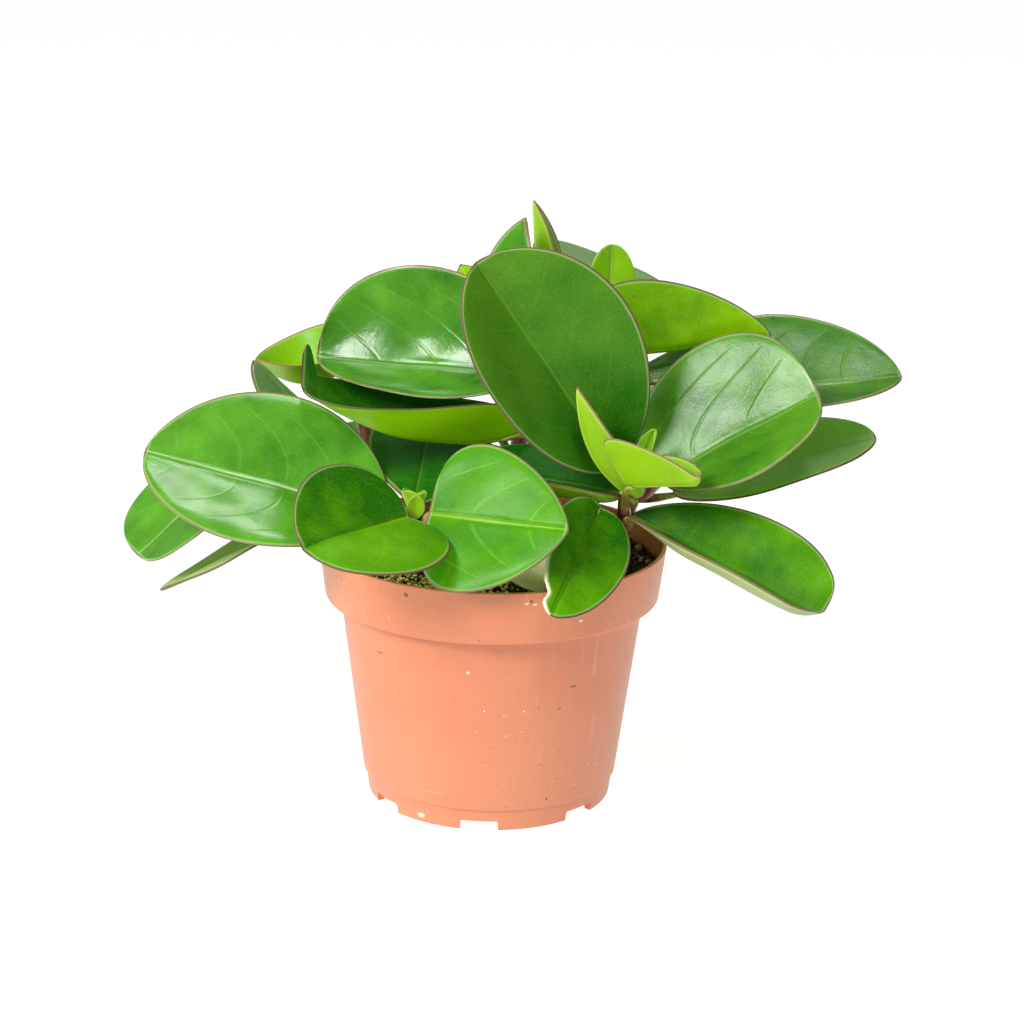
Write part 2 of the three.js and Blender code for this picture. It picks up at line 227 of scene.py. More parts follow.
# Buds are small young blades without a stalk or a coloured margin
BUDS = {
    "bud_front_left": dict(
        base=(-25.6, -43, 110), tip=(-29.6, -44.5, 120), face=(0.75, 0.35, 0.5), width=12, fold=40,
        ends=(0.5, 0.45)),
    "bud_front_right": dict(
        base=(-25.4, -43.4, 110), tip=(-22, -45, 119.6), face=(-0.75, 0.35, 0.5), width=10, fold=40,
        ends=(0.5, 0.45)),
    "bud_right_front": dict(
        base=(46.5, -24, 116), tip=(53, -29, 138), face=(-0.5, -0.6, 0.2), width=9, fold=40),
    "bud_right_back": dict(
        base=(40, 36, 163), tip=(40, 38, 187), face=(0, -1, 0.2), width=17, fold=15, ends=(0.4, 0.5)),
}


def grown(stem, height, base, tip, face, width, tone, **more):
    """A grown leaf as a row of the table."""
    return dict(more, stem=stem, height=height, base=base, tip=tip, face=face, width=width, tone=tone)


# Leaves: the stem and the height on it where the stalk starts, the blade's base and tip, the way its
# upper side faces, its width and the look of its upper side, and then what only some leaves need. Left
# and right are seen from the base, with the upper side up.
# arch: how far its middle stands up; fold: the rise of its sides in degrees, or that at base and tip
# curl: how many degrees each side curls on; skew: how much wider the right side is
# ends: base and tip, blunt with small numbers, or those of the left and then of the right side
# lobes: how far the left and the right side reach back past the base
# upturned: the share of the width beyond which the left and the right side stand up
# hook: how far the tip bends off the axis; lift: how far its right corner is turned up
# tear: places along the right side, and the share of its width that is missing there
# under: the look of the underside
# shade: from dark to light at base and tip, the leaf's own tone and painted shade on a leaf in shadow;
# sides: painted light that the left and the right side add to it
# rib: how much the midrib shows; fade: how soon it ends
LEAVES = {
    # its left half, the lower and nearer one, faces the light overhead more, and sides paints that light
    # on it
    "leaf_front_left": grown(
        "front", 109, (-27, -50, 112.5), (-59, -82, 111), (0.45, -0.35, 0.83), 49, "sap", arch=1, fold=14,
        lobes=(12, 3), shade=(-0.1, 0.3), sides=(0.45, 0), rib=0.6, fade=0.6),
    "leaf_front_middle": grown(
        "front", 104, (-21, -47, 113), (24, -64.5, 113.5), (0, -0.84, 0.54), 51, "fresh", fold=3,
        ends=(0.3, 0.7), shade=(0.1, 0.2), rib=0.45),
    # its shade stays at the dark end: painted shade, as it lies in shadow under the leaves above
    "leaf_front_upper": grown(
        "front", 102, (-26, -36, 112.5), (-22, 25, 127), (0, -0.2, 0.98), 43, "deep", fold=4, skew=0.06,
        ends=(0.9, 0.4, 0.7, 0.5), shade=(0, 0), rib=0.3),
    "leaf_left": grown(
        "front", 93, (-35, -26, 106), (-115.5, -26, 127), (-0.1, -0.7, 0.7), 61, "mid", fold=22,
        ends=(0.64, 0.5, 0.6, 0.66), shade=(0.3, 0.6), rib=0.7),
    "leaf_left_low": grown(
        "left", 99, (-91, 2, 112.5), (-121, -12, 86), (-0.6, -0.27, 0.75), 62, "mid", fold=8,
        ends=(0.5, 0.4), shade=(0.3, 0.5), rib=0.6),
    "leaf_left_lowest": grown(
        "left", 98, (-66, -18, 101), (-112, -22, 77), (-0.3, 0.06, 1), 28, "under_grey", fold=6,
        ends=(0.5, 0.7), under="under_grey", shade=(0.3, 0.5), rib=0.2),
    "leaf_centre": grown(
        "right_front", 106, (41, -21, 122.5), (-7, -26, 192), (0.4, -0.91, 0.1), 63, "deep", fold=26,
        curl=8, skew=0.06, ends=(0.62, 0.5), shade=(0.25, 0.95), rib=0.25),
    "leaf_right_front": grown(
        "right_front", 108, (56, -18, 118.5), (107, -22, 149), (0, -0.5, 0.87), 70, "pebbled", fold=26,
        ends=(0.52, 0.38), lobes=(9, 0), shade=(0.2, 0.45), rib=0.35),
    "leaf_right_low": grown(
        "right_front", 96, (46, -26, 107.5), (107, -60, 83.5), (0, -0.4, 0.92), 43, "sap", fold=35,
        ends=(0.7, 0.4, 0.7, 0.36), upturned=(1, 0.82), hook=(0.3, 0, 2.5), under="under_grey",
        shade=(0.1, 0.4), rib=0.4, fade=1.2),
    "leaf_under_centre": grown(
        "right_front", 97, (43, -19, 113), (-6, -20, 122), (0, -0.3, 0.95), 36, "deep", fold=8,
        upturned=(0.66, 1), under="under_young", shade=(0, 0.1), rib=0.3),
    "leaf_over_rim": grown(
        "right_front", 93, (36, -32, 112), (18.5, -71, 87), (0.4, -0.75, 0.55), 31.4, "sap", fold=12,
        skew=-0.033, ends=(0.42, 0.6, 0.42, 0.54),
        tear=((0.35, 0.5, 0.8, 0.86, 0.9, 0.95, 1), (0, 0.2, 0.36, 0.58, 0.48, 0.24, 0.2)),
        shade=(0, 0.75), rib=0.1),
    "leaf_tip_upright": grown(
        "right_front", 110, (47, -33, 115), (26.5, -37, 153.6), (0.85, 0.3, 0.4), 22, "young", arch=-6,
        fold=50, ends=(0.5, 0.9)),
    "leaf_tip_right": grown(
        "right_front", 103, (43, -41, 122), (67, -56, 127), (-0.35, 0.3, 0.9), 30, "young", fold=60,
        skew=0.3, ends=(0.35, 0.5, 0.22, 0.85), lobes=(0, 6), hook=(-1, 0, 3)),
    "leaf_right_far": grown(
        "right_back", 118, (66, 14.5, 137.8), (140, 14.5, 146.8), (0, -0.42, 0.91), 61, "pebbled", fold=25,
        skew=0.03, ends=(0.42, 0.62), shade=(0.05, 0.25), rib=0.3),
    "leaf_right_under": grown(
        "right_back", 100, (62, 6, 106.5), (131, 6, 127.5), (0, -0.3, 0.95), 40, "grey", fold=12,
        shade=(0.8, 1.1), rib=0.3),
    "leaf_right_middle": grown(
        "right_back", 126, (48, 24, 143.5), (72, 2, 155.5), (0, -0.35, 0.93), 28, "mid", fold=6,
        shade=(0.5, 0.8), rib=0.4),
    "leaf_upper_right": grown(
        "centre", 136, (29, 9, 152), (93, 5, 163), (0, 0.55, 0.83), 53, "sap", fold=46, ends=(0.36, 0.75),
        under="under_sap", shade=(0.1, 0.7), rib=0.2),
    "leaf_upper_left": grown(
        "centre", 132, (12, 12, 147), (-61, 8, 152), (0, -0.6, 0.8), 64, "glossy", arch=-2, fold=18,
        curl=26, skew=0.12, ends=(0.5, 0.46), shade=(0.2, 0.45), rib=0.3),
    "leaf_upper_left_under": grown(
        "centre", 116, (12, -3, 130), (-65, -12, 146.5), (0, -0.1, 0.99), 48, "deep", arch=-10.5,
        fold=(72, 12), skew=-0.24, ends=(0.5, 0.24, 0.5, 0.34), lift=(-0.5, 13, 8), shade=(0, 0.2),
        rib=0.3),
    "leaf_small_left": grown(
        "left_back", 122, (-49, 34, 144.5), (-84, 27, 146), (0, -0.22, 0.975), 42, "young", arch=-8.5,
        fold=44, ends=(0.4, 0.8), rib=0.3),
    "leaf_small_left_under": grown(
        "left_back", 112, (-54, 16, 116), (-83.5, 12, 149), (0.7, -0.3, 0.65), 24, "grey", fold=6,
        skew=-0.6, under="under_grey", shade=(0.3, 0.4), rib=0.2),
    "leaf_top_left": grown(
        "back", 150, (12, 21, 160), (9, 13, 200), (-0.75, -0.6, 0.3), 34, "mid", fold=30, ends=(0.5, 0.85),
        shade=(0.3, 0.5), rib=0.3),
    "leaf_top": grown(
        "back", 154, (15, 26, 162), (12, 25, 204), (0.97, -0.2, 0.15), 20, "young", fold=60,
        ends=(0.5, 0.85)),
    "leaf_top_right": grown(
        "right_back", 152, (33, 47, 168.5), (42, 92, 171), (0.33, 0, 0.94), 54, "grey", fold=6,
        shade=(0.5, 0.8), rib=0.3),
    "leaf_top_back_left": grown(
        "back", 140, (4, 34, 150), (-13, 32, 180), (-0.6, 0.3, 0.7), 30, "mid", fold=15, ends=(0.5, 0.9),
        shade=(0.5, 0.5), rib=0.4),
    # its underside is almost white: painted light, for a thin leaf lit from behind
    "leaf_behind_rim": grown(
        "front", 94, (-6, -40, 104), (20, -52.5, 94), (0, 0.93, 0.36), 21, "young", ends=(0.5, 0.3),
        under="under_pale"),
    "leaf_back_1": grown(
        "back", 130, (12, 46, 140), (14, 96, 124), (0, 0.4, 0.9), 52, "mid", fold=12, shade=(0.3, 0.6),
        rib=0.6),
    "leaf_back_2": grown(
        "right_back", 130, (46, 40, 136), (80, 80, 124), (0.3, 0.4, 0.85), 50, "mid", fold=12,
        shade=(0.2, 0.6), rib=0.6),
    "leaf_back_3": grown(
        "left_back", 112, (-44, 34, 118), (-74, 70, 106), (-0.3, 0.4, 0.85), 48, "sap", fold=12,
        shade=(0.2, 0.6), rib=0.6),
    "leaf_back_4": grown(
        "left_back", 98, (-48, 28, 106), (-92, 34, 98), (-0.2, 0.1, 0.95), 44, "mid", fold=12,
        shade=(0.3, 0.5), rib=0.6),
    "leaf_back_5": grown(
        "back", 108, (2, 46, 116), (-22, 90, 98), (-0.2, 0.5, 0.85), 48, "deep", fold=12, shade=(0.2, 0.6),
        rib=0.6),
    "leaf_back_6": grown(
        "right_back", 106, (46, 40, 112), (92, 62, 100), (0.3, 0.3, 0.9), 46, "mid", fold=12,
        shade=(0.3, 0.6), rib=0.6),
    "leaf_back_7": grown(
        "back", 96, (14, 46, 108), (20, 90, 92), (0.1, 0.4, 0.9), 48, "fresh", fold=10, shade=(0.3, 0.6),
        rib=0.6),
}


# Meshes
def unit(v):
    v = np.asarray(v, float)
    return v / np.linalg.norm(v)


def by_side(s, left, right):
    """One value for the left side of a blade and another for its right side."""
    return np.where(s > 0, right, left)


def make_object(name, verts, faces, materials, face_materials=None, attributes=None, smooth=True):
    """An object in metres from vertices in millimetres."""
    mesh = bpy.data.meshes.new(name)
    mesh.from_pydata((np.asarray(verts) * MM).tolist(), [], [list(map(int, f)) for f in faces])
    for material in materials:
        mesh.materials.append(material)
    if face_materials is not None:
        mesh.polygons.foreach_set("material_index", np.asarray(face_materials, np.int32))
    mesh.polygons.foreach_set("use_smooth", np.full(len(mesh.polygons), smooth))
    for key, values in (attributes or {}).items():
        layer = mesh.attributes.new(key, "FLOAT", "POINT")
        layer.data.foreach_set("value", np.asarray(values, np.float32))
    mesh.update()
    obj = bpy.data.objects.new(name, mesh)
    bpy.context.scene.collection.objects.link(obj)
    return obj


def install(piece, slot, *nodes):
    """The piece rides with the plant and stands for the nodes, which it hides; the slot is not used."""
    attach(piece, "root")
    if nodes:
        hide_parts(*nodes)


def spline(points, steps):
    """Points along a smooth curve through the given ones, evenly spaced by length, and its length."""
    p = np.asarray(points, float)
    p = np.vstack([2 * p[0] - p[1], p, 2 * p[-1] - p[-2]])
    dense = []
    for i in range(1, len(p) - 2):
        a, b, c, d = p[i - 1:i + 3]
        for u in np.linspace(0, 1, 24, endpoint=False):
            dense.append(0.5 * (2 * b + (c - a) * u + (2 * a - 5 * b + 4 * c - d) * u * u
                                + (3 * b - a - 3 * c + d) * u ** 3))
    dense.append(p[-2])
    dense = np.array(dense)
    run = np.concatenate([[0], np.cumsum(np.linalg.norm(np.diff(dense, axis=0), axis=1))])
    at = np.linspace(0, run[-1], steps + 1)
    return np.stack([np.interp(at, run, dense[:, k]) for k in range(3)], 1), run[-1]


def tube_mesh(points, radii, sides):
    """Vertices, faces and the share of the length at each vertex, with both ends closed."""
    points = np.asarray(points)
    tangent = np.gradient(points, axis=0)
    tangent /= np.linalg.norm(tangent, axis=1, keepdims=True)
    normal = unit(np.cross(tangent[0], [0.3, 0.9, 0.1]))
    verts = []
    faces = []
    for i, (p, t) in enumerate(zip(points, tangent)):
        normal = unit(normal - t * np.dot(normal, t))
        other = np.cross(t, normal)
        for j in range(sides):
            a = 2 * math.pi * j / sides
            verts.append(p + radii[i] * (math.cos(a) * normal + math.sin(a) * other))
    for i in range(len(points) - 1):
        for j in range(sides):
            k = (j + 1) % sides
            faces.append((i * sides + j, i * sides + k, (i + 1) * sides + k, (i + 1) * sides + j))
    first = len(verts)
    last = first + 1
    verts.append(points[0])
    verts.append(points[-1])
    top = (len(points) - 1) * sides
    for j in range(sides):
        k = (j + 1) % sides
        faces.append((first, k, j))
        faces.append((last, top + j, top + k))
    share = np.repeat(np.linspace(0, 1, len(points)), sides)
    return np.array(verts), faces, np.concatenate([share, [0, 1]])


# Blades
def blade_points(leaf, t, s):
    """The middle surface of a blade at t from base to tip and s from -1 to 1 across."""
    base = np.array(leaf["base"], float)
    along = np.array(leaf["tip"], float) - base
    length = np.linalg.norm(along)
    along /= length
    up = np.array(leaf["face"], float)
    up = unit(up - along * np.dot(up, along))
    side = np.cross(along, up)
    # half the width
    ends = leaf.get("ends", ROUND_ENDS)
    a = by_side(s, ends[0], ends[-2])
    b = by_side(s, ends[1], ends[-1])
    full = (a / (a + b)) ** a * (b / (a + b)) ** b
    wider = 1 + np.sign(s) * leaf.get("skew", 0)
    half = np.maximum(leaf["width"] / 2 * wider * t ** a * (1 - t) ** b / full, THINNEST_HALF)
    if "tear" in leaf:
        half = by_side(s, half, half * (1 - np.interp(t, *leaf["tear"])))
    # each side rises from the midrib at the fold's angle and curls on from there
    fold_base, fold_tip = np.broadcast_to(leaf.get("fold", 0), 2)
    fold = np.radians(fold_base + (fold_tip - fold_base) * t)
    curl = math.radians(leaf.get("curl", 0)) or LEAST_CURL
    size = np.abs(s)
    soft = FOLD_SOFTNESS
    rounded = (np.sqrt(size ** 2 + soft ** 2) - soft) / (math.sqrt(1 + soft ** 2) - soft)
    out = half * (np.sin(fold + curl * size) - np.sin(fold)) / curl
    rise = half * (np.cos(fold) - np.cos(fold + curl * rounded)) / curl
    beyond = np.clip(size - by_side(s, *leaf.get("upturned", (1, 1))), 0, None)
    beyond = half * beyond ** 2 / (beyond + 0.05)
    out = out - beyond * 0.85
    rise = rise + beyond * 0.9
    back = by_side(s, *leaf.get("lobes", (0, 0))) * size * LOBE_REACH * np.sqrt(t) * (1 - t) ** 2
    height = leaf.get("arch", 0) * 4 * t * (1 - t) + rise
    points = base + along * (length * t - back)[..., None] + up * height[..., None]
    points = points + side * (np.sign(s) * out)[..., None]
    hook = np.clip((t - HOOK_START) / (1 - HOOK_START), 0, 1) ** 2
    points = points + np.array(leaf.get("hook", (0, 0, 0))) * hook[..., None]
    return points, half, length


def blade_normals(leaf, t, s):
    """Out of the upper side, square to the blade's axis."""
    along = unit(np.array(leaf["tip"], float) - np.array(leaf["base"], float))
    right = blade_points(leaf, t, np.minimum(s + NORMAL_STEP, 1))[0]
    left = blade_points(leaf, t, np.maximum(s - NORMAL_STEP, -1))[0]
    normal = np.cross(right - left, along)
    return normal / np.linalg.norm(normal, axis=-1, keepdims=True)


def blade_grid():
    """Rows from base to tip and columns across, closest at the ends, the midrib and the margins."""
    along = (1 - np.cos(np.pi * np.linspace(0, 1, BLADE_ROWS + 1))) / 2
    across = np.linspace(-1, 1, BLADE_COLUMNS + 1)
    across = np.sign(across) * np.abs(across) ** 1.3
    across = np.unique(np.concatenate([across, MARGIN_COLUMNS, -MARGIN_COLUMNS]))
    across[np.abs(across) < 1e-9] = 0
    return np.meshgrid(along, across, indexing="ij")


def blade_relief(t, s, half, length, phase):
    """How far the blade stands off its plain shape, and how far along it each side vein started.

    It swells softly here and there, most between its side veins, and its margin waves and rolls down.
    """
    offset = np.abs(s) * half
    run = length * t
    path = run - VEIN_BEND * offset ** 2
    path = path + 3 * np.sin(offset / 9 + phase[0]) + 2.5 * np.sin(run / 11 + phase[1])
    swell = 0.4 * np.sin(math.pi * path / VEIN_GAP) ** 2 * np.clip(offset / 6, 0, 1)
    swell = swell + np.sin(0.21 * run + 0.14 * s * half + phase[2])
    swell = swell + 0.8 * np.sin(0.24 * s * half - 0.13 * run + phase[3])
    swell = SWELL * swell * (1 - np.abs(s) ** 4)
    wave = np.sin(2 * math.pi * 1.3 * t + phase[2] + np.sign(s) * phase[3]) * np.abs(s) ** 2
    wave = MARGIN_WAVE * wave * np.sin(np.pi * t)
    roll = np.clip((np.abs(s) - 0.8) / 0.2, 0, 1) ** 2 * np.clip(half / 12, 0, 1)
    return swell + wave - MARGIN_ROLL * roll, path


def blade_mesh(leaf, seed):
    """A closed lens-edged blade with a sunken midrib above, a raised one below, and soft swellings."""
    phase = np.random.default_rng(seed).uniform(0, 2 * math.pi, 4)
    t, s = blade_grid()
    middle, half, length = blade_points(leaf, t, s)
    normal = blade_normals(leaf, t, s)
    offset = np.abs(s) * half
    relief, path = blade_relief(t, s, half, length, phase)
    rib = leaf.get("rib", 0.5) * np.clip(1 - t * leaf.get("fade", 0) / 0.3, 0, 1)
    weaker = np.clip(1.15 - t, 0, 1)
    groove = GROOVE_DEPTH * np.exp(-(offset / GROOVE_HALF) ** 2) * weaker * rib
    ridge = RIDGE_HEIGHT * np.exp(-(offset / RIDGE_HALF) ** 2) * weaker
    grade = np.clip((1 - np.abs(s) ** 12) * (1 - np.abs(2 * t - 1) ** 30), 0, 1) ** 0.5
    thick = HALF_THICKNESS * grade
    if leaf["tone"] == "young":
        thick = thick * YOUNG_THICKNESS
        relief = relief * YOUNG_RELIEF
        groove = groove * YOUNG_RIB
        ridge = ridge * YOUNG_RIB
    # a folded blade's narrow ends keep their thickness on their own side of the crease
    sideways = middle - blade_points(leaf, t, 0 * s)[0]
    room = np.clip(np.linalg.norm(sideways, axis=-1) / 1.5, 0.25, 1)
    room = np.where(np.abs(s) < 0.02, 1, room)
    middle = middle + normal * relief[..., None]
    if "lift" in leaf:
        near_tip = np.clip((t - LIFT_START) / (1 - LIFT_START), 0, 1)
        corner = np.sin(0.72 * math.pi * near_tip) * np.clip(s + 0.2, 0, 1)
        middle = middle + np.array(leaf["lift"]) * corner[..., None]
    upper = middle + normal * (thick * room - groove * grade)[..., None]
    lower = middle - normal * (thick * room + ridge * grade)[..., None]
    # the two sides share the vertices of the margin
    edge = np.zeros(t.shape, bool)
    edge[[0, -1]] = True
    edge[:, [0, -1]] = True
    inner = ~edge
    top = np.arange(t.size).reshape(t.shape)
    under = top.copy()
    under[inner] = t.size + np.arange(inner.sum())
    verts = np.concatenate([upper.reshape(-1, 3), lower[inner]])
    faces = []
    for i in range(t.shape[0] - 1):
        for j in range(t.shape[1] - 1):
            faces.append((top[i, j], top[i, j + 1], top[i + 1, j + 1], top[i + 1, j]))
            faces.append((under[i, j], under[i + 1, j], under[i + 1, j + 1], under[i, j + 1]))
    sides = [0, 1] * (len(faces) // 2)
    rim = np.minimum((1 - np.abs(s)) * half, np.minimum(t, 1 - t) * length * 0.9 + 0.02)
    rim[edge] = 0
    if "bare" in leaf:
        rim = rim + 1
    at_base, at_tip = leaf.get("shade", (0.5, 0.5))
    # the shade runs from base to tip, and sides adds painted light to the half of a blade that faces the
    # lamps more
    shade = at_base + (at_tip - at_base) * t + by_side(s, *leaf.get("sides", (0, 0)))
    scar = 0 * t
    if "tear" in leaf:
        scar = by_side(s, 0.0, np.interp(t, *leaf["tear"]) > SCAR_DEPTH)
    fields = {"across": s * half, "along": path, "rim": rim, "reach": t, "shade": shade, "rib": rib,
              "scar": scar}
    fields = {key: np.concatenate([f.reshape(-1), f[inner]]) for key, f in fields.items()}
    return verts, faces, sides, fields


def stalk_mesh(leaf):
    """The leaf's stalk, from the middle of its stem to under the blade's base."""
    _, axis = STEMS[leaf["stem"]]
    path, _ = spline(axis, AXIS_STEPS)
    start = path[np.argmin(np.abs(path[:, 2] - leaf["height"]))]
    t = np.array([0, STALK_END])
    points, _, _ = blade_points(leaf, t, np.zeros(2))
    normals = blade_normals(leaf, t, np.zeros(2))
    # a stalk that meets its blade steeply passes lower, so that its bend stays under the blade
    steep = max(0, np.dot(unit(points[0] - start), normals[0]))
    neck = points[0] - normals[0] * (1.1 + 0.7 * steep)
    end = points[1] - normals[1] * 1.2
    middle = (start + neck) / 2
    middle[2] -= np.linalg.norm(neck - start) * STALK_SAG
    line, length = spline([start, middle, neck, end], STALK_STEPS)
    share = np.linspace(0, 1, STALK_STEPS + 1)
    foot = 1 + 0.35 * np.exp(-share / 0.1)
    taper = np.clip((1.08 - share) / 0.45, 0.18, 1) ** 0.7
    verts, faces, run = tube_mesh(line, STALK_RADIUS * foot * taper, STALK_SIDES)
    plain = np.zeros(len(verts))
    fields = {"across": plain, "along": run * length, "rim": plain + 9, "reach": run, "shade": plain,
              "rib": plain, "scar": plain}
    return verts, faces, fields


def make_leaf(name, leaf, materials, seed):
    verts, faces, sides, fields = blade_mesh(leaf, seed)
    under = leaf.get("under", "under_young" if leaf["tone"] == "young" else "under")
    materials = [materials[leaf["tone"]], materials[under], materials["stalk"]]
    if "stem" in leaf:
        more, more_faces, more_fields = stalk_mesh(leaf)
        faces += [tuple(i + len(verts) for i in f) for f in more_faces]
        sides += [2] * len(more_faces)
        verts = np.vstack([verts, more])
        fields = {key: np.concatenate([f, more_fields[key]]) for key, f in fields.items()}
    return make_object("fine_" + name, verts, faces, materials, sides, fields)


# Materials
def srgb(r, g, b):
    """A colour picked on screen, 0 to 255, as the linear colour that a shader takes."""
    shares = [c / 255 for c in (r, g, b)]
    return tuple(c / 12.92 if c <= 10 / 255 else ((c + 0.055) / 1.055) ** 2.4 for c in shares) + (1,)


class Shader:
    """A material with short calls for the nodes that it needs."""

    def __init__(self, name, roughness=0.5, coat=0.0, coat_roughness=0.1, specular=0.5):
        self.material = bpy.data.materials.new(name)
        self.material.use_nodes = True
        self.tree = self.material.node_tree
        self.bsdf = self.tree.nodes["Principled BSDF"]
        self.bsdf.inputs["Roughness"].default_value = roughness
        self.bsdf.inputs["Coat Weight"].default_value = coat
        self.bsdf.inputs["Coat Roughness"].default_value = coat_roughness
        self.bsdf.inputs["Specular IOR Level"].default_value = specular
        self.place = self.node("ShaderNodeTexCoord").outputs["Object"]

    def put(self, socket, value):
        """Feeds a socket from another one, or with a number, a vector or a colour picked on screen."""
        if isinstance(value, bpy.types.NodeSocket):
            self.tree.links.new(value, socket)
        elif socket.type == "RGBA":
            socket.default_value = srgb(*value)
        else:
            socket.default_value = value

    def node(self, kind, inputs=None, **settings):
        made = self.tree.nodes.new(kind)
        for key, value in settings.items():
            setattr(made, key, value)
        for key, value in (inputs or {}).items():
            self.put(made.inputs[key], value)
        return made

    def attribute(self, name):
        return self.node("ShaderNodeAttribute", attribute_name=name).outputs["Fac"]

    def math(self, operation, a, b=0.0, clamp=False):
        made = self.node("ShaderNodeMath", {0: a, 1: b}, operation=operation, use_clamp=clamp)
        return made.outputs[0]

    def plus(self, a, b, clamp=False):
        return self.math("ADD", a, b, clamp)

    def times(self, a, b):
        return self.math("MULTIPLY", a, b)

    def ramp(self, value, low, high, at_low=0.0, at_high=1.0):
        """A smooth step from one value to another."""
        inputs = dict(enumerate((value, low, high, at_low, at_high)))
        return self.node("ShaderNodeMapRange", inputs, interpolation_type="SMOOTHSTEP").outputs[0]

    def mix(self, factor, a, b):
        return self.node("ShaderNodeMix", {0: factor, 6: a, 7: b}, data_type="RGBA").outputs[2]

    def stretched(self, scale):
        return self.node("ShaderNodeMapping", {"Vector": self.place, "Scale": scale}).outputs[0]

    def noise(self, scale, detail=2.0, vector=None):
        place = self.place if vector is None else vector
        inputs = {"Vector": place, "Scale": scale, "Detail": detail}
        return self.node("ShaderNodeTexNoise", inputs).outputs["Fac"]

    def cells(self, scale):
        """The distance to the nearest of many scattered points."""
        inputs = {"Vector": self.place, "Scale": scale}
        return self.node("ShaderNodeTexVoronoi", inputs).outputs["Distance"]

    def dots(self, scale, low, high, strength, patches):
        """Round dots, only where the patches are."""
        return self.times(self.ramp(self.cells(scale), low, high, strength, 0), patches)

    def bump(self, height, strength, distance):
        inputs = {"Height": height, "Strength": strength, "Distance": distance}
        return self.node("ShaderNodeBump", inputs).outputs[0]

    def finish(self, colour, roughness=None, normal=None):
        for socket, value in (("Base Color", colour), ("Roughness", roughness), ("Normal", normal)):
            if value is not None:
                self.put(self.bsdf.inputs[socket], value)
        return self.material


def leaf_material(name, dark, light, rib, vein, gloss, margin=PURPLE, speck=0.1, freckle=0, specular=0.4,
                  pebble=1):
    """One side of a leaf: mottled green, midrib, curved side veins, coloured margin with a painted
    highlight inside it, and fine specks.
    """
    m = Shader(name, roughness=gloss, specular=specular)
    across = m.math("ABSOLUTE", m.attribute("across"))
    edge = m.attribute("rim")
    reach = m.attribute("reach")
    cloud = m.times(m.math("SUBTRACT", m.noise(34), 0.5), 1.2)
    patchy = m.times(m.math("SUBTRACT", m.noise(110, 3), 0.5), 0.8)
    tone = m.plus(m.attribute("shade"), m.plus(cloud, patchy), clamp=True)
    colour = m.mix(tone, dark, light)
    grain = m.noise(1500)
    colour = m.mix(m.ramp(grain, 0.45, 0.8, 0, 0.08), colour, CREAM)
    # side veins leave the midrib squarely and bend towards the tip
    beat = m.math("PINGPONG", m.attribute("along"), VEIN_GAP / 2)
    line = m.ramp(beat, 0.0, 1.1, 1, 0)
    line = m.times(line, m.ramp(across, 0.6, 3, 0, 1))
    line = m.times(line, m.ramp(edge, 3, 8, 0, 1))
    vein_strength, vein_colour = vein
    colour = m.mix(m.times(line, vein_strength), colour, vein_colour)
    # the midrib narrows and fades towards the tip
    width = m.ramp(reach, 0, 1, 0.9, 0.35)
    core = m.ramp(m.math("DIVIDE", across, width), 0.3, 1.0, 1, 0)
    halo = m.ramp(across, 0.4, 3.2, 0.25, 0)
    both = m.math("MAXIMUM", core, m.times(halo, m.ramp(reach, 0, 0.6, 1, 0.1)))
    colour = m.mix(m.times(both, m.attribute("rib")), colour, rib)
    # pale specks in patches, and brown freckles
    patches = m.ramp(m.noise(70), 0.56, 0.7)
    colour = m.mix(m.dots(620, 0.06, 0.13, speck, patches), colour, CREAM)
    if freckle:
        patches = m.ramp(m.noise(50, 1), 0.56, 0.62)
        colour = m.mix(m.dots(210, 0.06, 0.12, freckle, patches), colour, (98, 82, 30))
    # margin: a faint pale line, a painted highlight for the light on the rolled edge, and outside it the
    # coloured edge
    colour = m.mix(m.ramp(edge, 0.7, 1.5, 0.32, 0), colour, CREAM)
    edge_colour = m.mix(m.attribute("scar"), margin, SCAR)
    colour = m.mix(m.ramp(edge, 0.35, 0.8, 0.9, 0), colour, edge_colour)
    rough = m.plus(m.times(m.noise(140, 3), 0.2), gloss - 0.1)
    height = m.plus(m.times(grain, 0.5), m.times(m.noise(330), 0.9))
    height = m.plus(height, m.times(line, -0.8))
    return m.finish(colour, rough, m.bump(height, 0.5, 0.09 * MM * pebble))


def stalk_material():
    """Reddish by the stem and green by the blade."""
    m = Shader("leaf_stalk", roughness=0.36, coat=0.2)
    streak = m.noise(260, 2, m.stretched((1, 1, 0.12)))
    lighter = m.ramp(streak, 0.35, 0.7)
    red = m.mix(lighter, (124, 62, 44), (178, 118, 92))
    green = m.mix(lighter, (110, 144, 24), (150, 184, 60))
    colour = m.mix(m.ramp(m.attribute("reach"), 0.35, 1.15), red, green)
    return m.finish(colour, normal=m.bump(streak, 0.25, 0.2 * MM))


def stem_material():
    m = Shader("stem_skin", roughness=0.34, coat=0.3, coat_roughness=0.15)
    m.bsdf.inputs["Subsurface Weight"].default_value = 0.04
    m.bsdf.inputs["Subsurface Radius"].default_value = (0.4, 1.0, 0.2)
    m.bsdf.inputs["Subsurface Scale"].default_value = 2 * MM
    streak = m.noise(300, 3, m.stretched((1, 1, 0.1)))
    blotch = m.noise(120)
    colour = m.mix(m.ramp(streak, 0.3, 0.7), (64, 26, 18), (136, 76, 54))
    colour = m.mix(m.ramp(blotch, 0.55, 0.75, 0, 0.6), colour, (118, 112, 54))
    colour = m.mix(m.ramp(m.cells(500), 0.1, 0.18, 0.5, 0), colour, (196, 164, 128))
    return m.finish(colour, normal=m.bump(streak, 0.3, 0.3 * MM))


